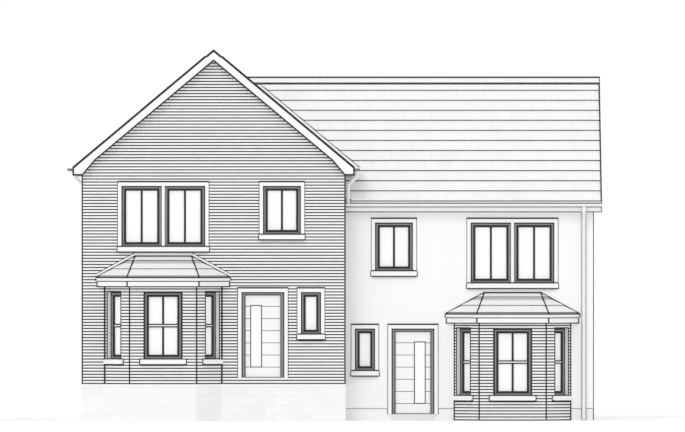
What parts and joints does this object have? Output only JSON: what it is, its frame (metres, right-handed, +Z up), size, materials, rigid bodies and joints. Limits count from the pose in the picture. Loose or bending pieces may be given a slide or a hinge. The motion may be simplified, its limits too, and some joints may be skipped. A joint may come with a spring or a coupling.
{
  "type": "pair of semi-detached houses",
  "caption": "Pair of semi-detached houses on stepped ground, brick gable beside a rendered front, with canted bays, intersecting tiled roofs and front doors that open.",
  "frame": {"origin": "foot of the party wall, on its centre line, midway along the lower house's depth", "axes": "+Z up, +X along the front towards the lower house, -Y out of the front"},
  "size_m": [13.151, 9.917, 9.1291],
  "materials": {
    "brick": "pale brick laid in stretcher courses with dark bed joints",
    "blockwork": "plain pale blockwork below ground",
    "render": "fine smooth white render",
    "concrete": "floated concrete",
    "floor_deck": "chipboard deck on joists, closed below",
    "roof_tiles": "flat pale grey interlocking tiles",
    "ridge": "pale grey angled ridge tiles",
    "lead": "weathered pale lead sheet",
    "white_boards": "satin white boards",
    "rainwater": "white half-round gutters and round pipes",
    "window_frames": "grey foiled frames with black seals",
    "window_glass": "pale double glazing",
    "surrounds": "smooth cast stone bands",
    "sills": "smooth cast stone sills",
    "door_frames": "grey foiled frames with black seals",
    "doors": "satin pale grey composite leaves",
    "door_glass": "pale glazed slots"
  },
  "bodies": {
    "house": {"left_foundation": "blockwork", "party_wall": "brick", "left_front_piers": "brick", "left_front_gable": "brick", "left_flank_wall": "brick", "left_rear_wall": "brick", "right_front_piers": "render", "right_front_upper_wall": "render", "right_gable_wall": "render", "right_rear_wall": "render", "left_ground_floor": "concrete", "right_ground_floor": "concrete", "left_first_floor": "floor_deck", "right_first_floor": "floor_deck", "left_bay_front_wall": "brick", "left_bay_side_walls": "brick", "right_bay_front_wall": "brick", "right_bay_side_walls": "brick", "left_bay_eaves": "white_boards", "right_bay_eaves": "white_boards", "left_bay_roof": "roof_tiles", "right_bay_roof": "roof_tiles", "left_bay_flashing": "lead", "valley_lead": "lead", "left_roof_outer_slope": "roof_tiles", "left_roof_inner_slope": "roof_tiles", "right_roof_front_slope": "roof_tiles", "right_roof_rear_slope": "roof_tiles", "ridge_tiles": "ridge", "bargeboards": "white_boards", "eaves_boards": "white_boards", "gutters": "rainwater", "downpipes": "rainwater", "left_window_frames": "window_frames", "left_window_glass": "window_glass", "left_surrounds": "surrounds", "left_sills": "sills", "left_door_frame": "door_frames", "right_window_frames": "window_frames", "right_window_glass": "window_glass", "right_surrounds": "surrounds", "right_sills": "sills", "right_door_frame": "door_frames"},
    "left_front_door": {"left_door": "doors", "left_door_glass": "door_glass"},
    "right_front_door": {"right_door": "doors", "right_door_glass": "door_glass"}
  },
  "joints": [
    {"name": "left_door_hinge", "type": "hinge", "parent": "house", "child": "left_front_door", "pos_m": [-1.4035, -4.552, 2.05], "axis": [0, 0, -1], "range_deg": [0, 90]},
    {"name": "right_door_hinge", "type": "hinge", "parent": "house", "child": "right_front_door", "pos_m": [1.4035, -3.952, 1.15], "axis": [0, 0, 1], "range_deg": [0, 90]}
  ]
}
